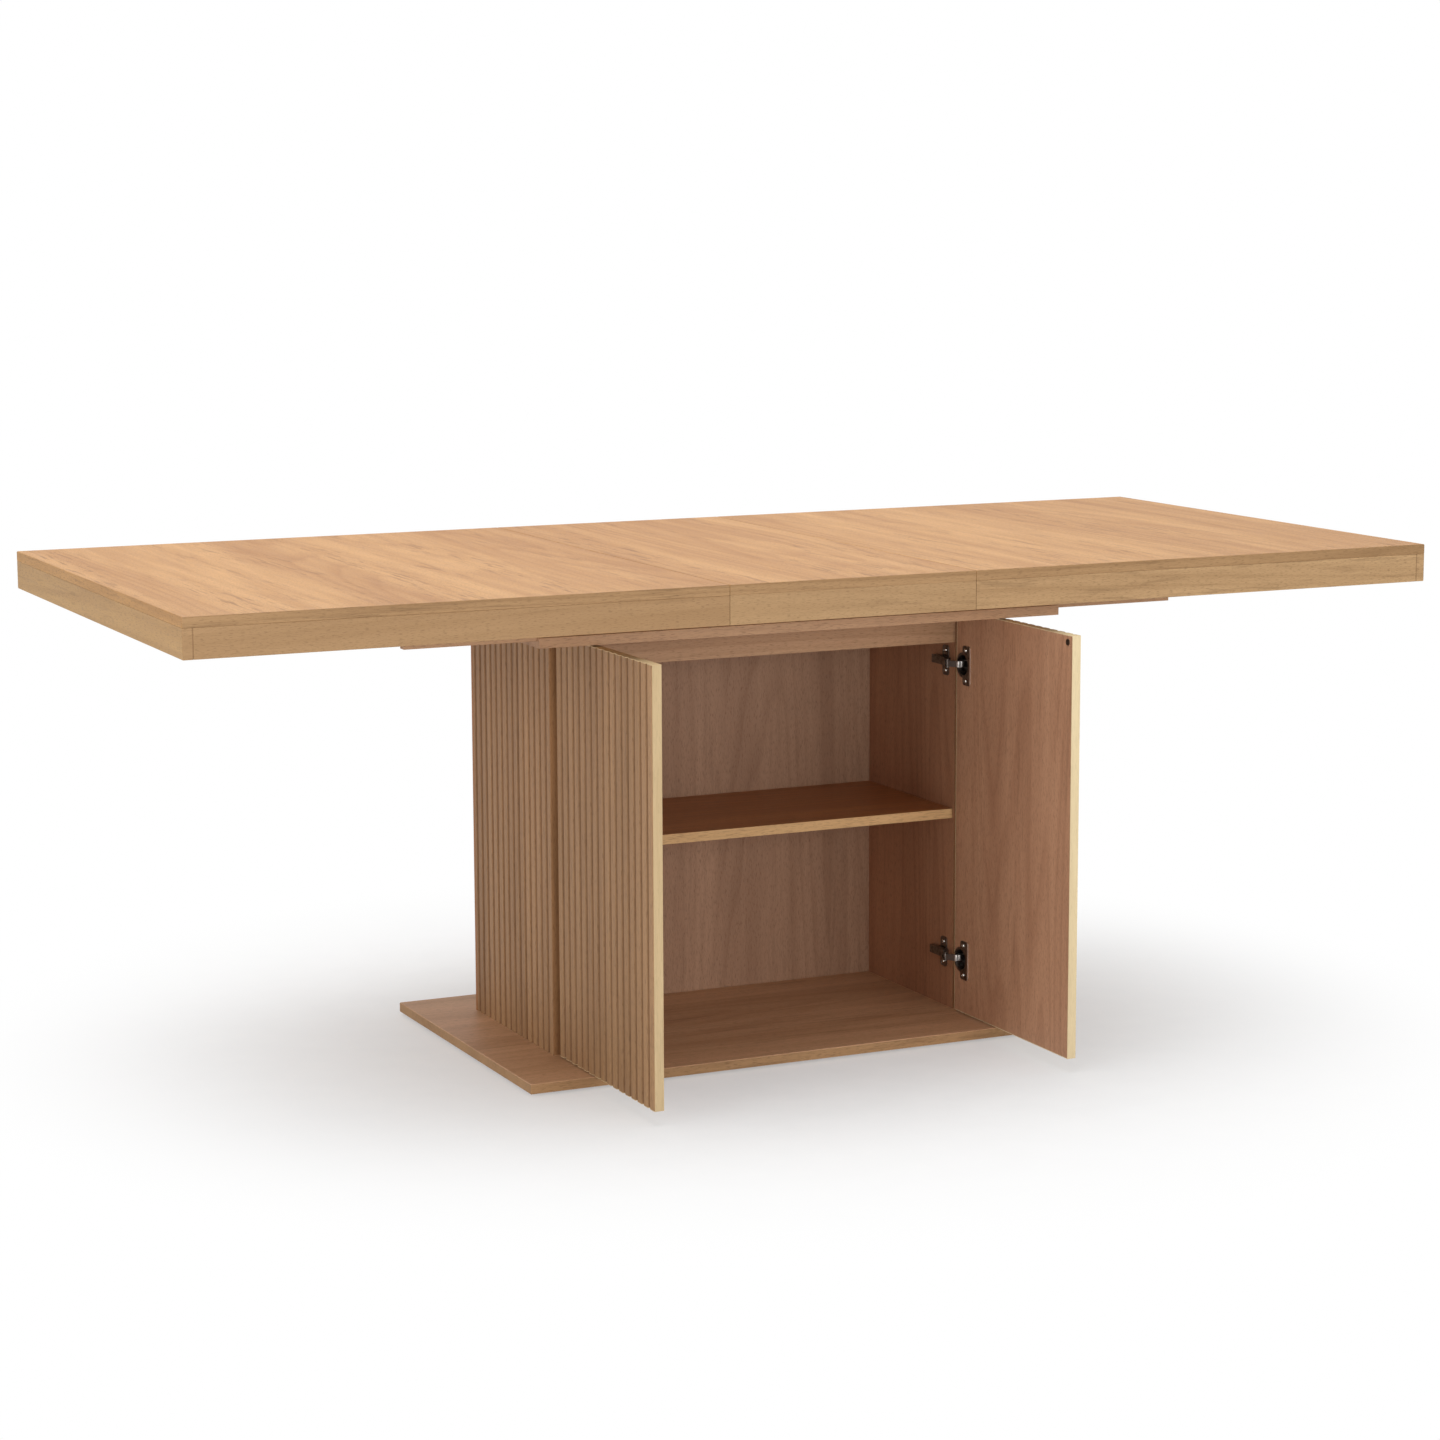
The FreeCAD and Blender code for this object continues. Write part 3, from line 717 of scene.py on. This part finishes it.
# %% [markdown]
# ## A screw with a cross recess
# The screws have a domed head with a tapered cross. The cross could be cut out with a boolean, which
# leaves long, thin faces. Here the whole screw is a stack of rings from the tip to the bottom of the
# recess, all with the same number of points. The cross is just a ring whose radius changes with the
# angle, so neighbouring rings can be joined by quads.

# %% Screw shape
head_radius, head_rise, shank_radius, shank_length, tip_length = 0.0035, 0.002, 0.00175, 0.0098, 0.0015
cross_arm, cross_half, cross_taper, cross_floor = 0.5 * head_radius, 0.12 * head_radius, 0.78, 0.42
ring_points, nearly_nothing = 48, 1e-9
ring_turns = [2 * math.pi * i / ring_points for i in range(ring_points)]


def cross_radius(angle):
    c, s = abs(math.cos(angle)) + nearly_nothing, abs(math.sin(angle)) + nearly_nothing
    return max(min(cross_arm / c, cross_half / s), min(cross_arm / s, cross_half / c))


def screw_rings():
    tip = [(0.2 * shank_radius, -shank_length), (shank_radius, tip_length - shank_length)]
    dome = [(1.0, 0.0), (1.0, 0.2), (0.93, 0.55), (0.76, 0.84), (0.6, 1.0)]
    profile = tip + [(shank_radius, 0)] + [(r * head_radius, z * head_rise) for r, z in dome]
    rings = [[(r * math.cos(a), r * math.sin(a), z) for a in ring_turns] for r, z in profile]
    for share, z in ((1.0, head_rise), (cross_taper, cross_floor * head_rise)):
        reach = [(a, share * cross_radius(a)) for a in ring_turns]
        rings.append([(r * math.cos(a), r * math.sin(a), z) for a, r in reach])
    return rings


print("a screw has", len(screw_rings()), "rings of", ring_points, "points")

# %% [markdown]
# ## The hinge screws
# Each set becomes one mesh, which takes the place of the CAD piece and moves with the same body: the
# screws of the plates stay on the cabinet, and those of the cups swing with their door. Sixteen linked
# copies of one screw would look the same, but a set in one mesh stands in for its CAD piece one for one.
# Screws are driven home without lining up their crosses, so each is turned on by the same odd angle.

# %% Hinge screws
first_spin, next_spin = 0.35, 0.93813


def make_screws(name, node, body):
    rings, count = screw_rings(), ring_points
    verts, faces = [], []
    places = loose_solids(node)
    for number, (low, high) in enumerate(places):
        inward = 1 if low.x < 0 else -1
        seat = (low + high) / 2
        seat.x = high.x - head_rise if inward > 0 else low.x + head_rise
        spin = Matrix.Rotation(first_spin + number * next_spin, 3, "Z")
        stance = Matrix.Rotation(math.radians(90 * inward), 3, "Y") @ spin
        start = len(verts)
        for ring in rings:
            verts += [tuple(seat + stance @ Vector(p)) for p in ring]
        for r in range(len(rings) - 1):
            a, b = start + r * count, start + (r + 1) * count
            for i in range(count):
                j = (i + 1) % count
                faces.append((a + i, a + j, b + j, b + i))
        faces.append(tuple(start + i for i in reversed(range(count))))
        faces.append(tuple(start + (len(rings) - 1) * count + i for i in range(count)))
    mesh = bpy.data.meshes.new(name)
    mesh.from_pydata(verts, [], faces)
    mesh.materials.append(screw_zinc)
    screws = bpy.data.objects.new(name, mesh)
    bpy.context.scene.collection.objects.link(screws)
    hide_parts(node)
    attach(screws, body)
    print(name, "has", len(places), "screws on", body)


make_screws("plate_cross_screws", "plate_screws", "cabinet")
make_screws("left_cup_cross_screws", "left_cup_screws", "left_door")
make_screws("right_cup_cross_screws", "right_cup_screws", "right_door")
